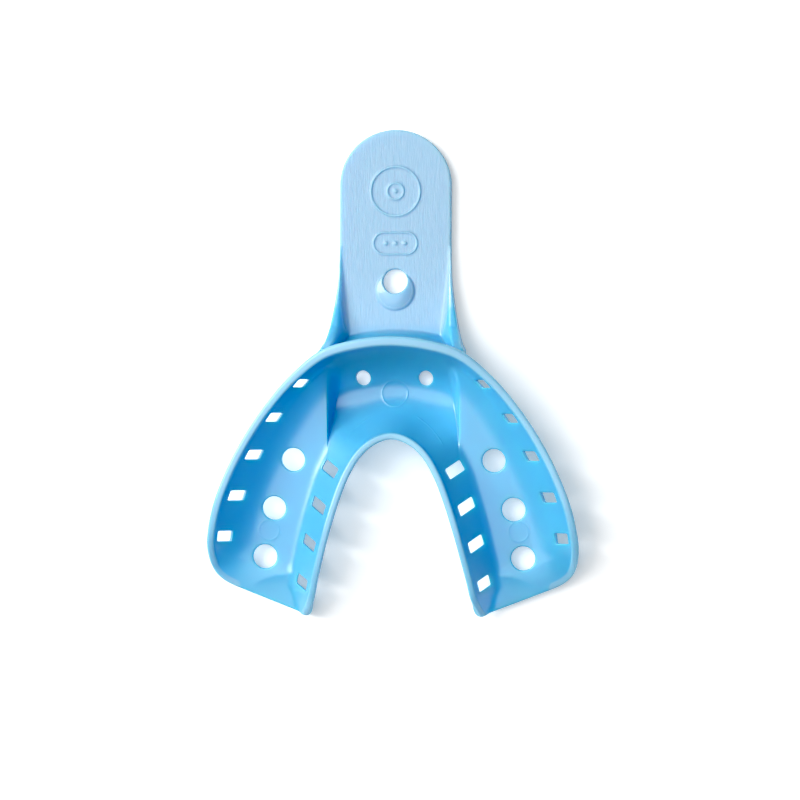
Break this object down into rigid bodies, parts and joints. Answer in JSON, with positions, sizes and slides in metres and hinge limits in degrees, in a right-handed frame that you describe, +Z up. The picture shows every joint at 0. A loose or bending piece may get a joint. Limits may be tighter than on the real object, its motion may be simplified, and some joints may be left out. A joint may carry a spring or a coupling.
{
  "type": "impression tray",
  "caption": "Perforated lower-jaw impression tray: horseshoe U-channel with retention slots and round holes, rimmed edges and a flat handle with a hang hole.",
  "frame": {"origin": "centre of the tray's outline, on the surface it stands on", "axes": "+X across the arch to the right arm, +Y along the handle from the arms' ends to its round tip, +Z up out of the open channel"},
  "size_m": [0.0662, 0.087, 0.012],
  "materials": {
    "moulded_plastic": "pale blue, slightly translucent, glossy channel and a satin handle"
  },
  "bodies": {
    "root": {"labial_flange": "moulded_plastic", "lingual_flange_front": "moulded_plastic", "anterior_floor": "moulded_plastic", "bay_side_wall_left": "moulded_plastic", "bay_side_wall_right": "moulded_plastic", "buccal_flange_left": "moulded_plastic", "buccal_flange_right": "moulded_plastic", "arm_floor_left": "moulded_plastic", "arm_floor_right": "moulded_plastic", "lingual_flange_left": "moulded_plastic", "lingual_flange_right": "moulded_plastic", "distal_flap_left": "moulded_plastic", "distal_flap_right": "moulded_plastic", "outer_rim_front": "moulded_plastic", "outer_rim_left": "moulded_plastic", "outer_rim_right": "moulded_plastic", "lingual_rim_front": "moulded_plastic", "lingual_rim_left": "moulded_plastic", "lingual_rim_right": "moulded_plastic", "handle_plate": "moulded_plastic", "handle_rib_left": "moulded_plastic", "handle_rib_right": "moulded_plastic", "handle_root_wall": "moulded_plastic"}
  },
  "joints": []
}
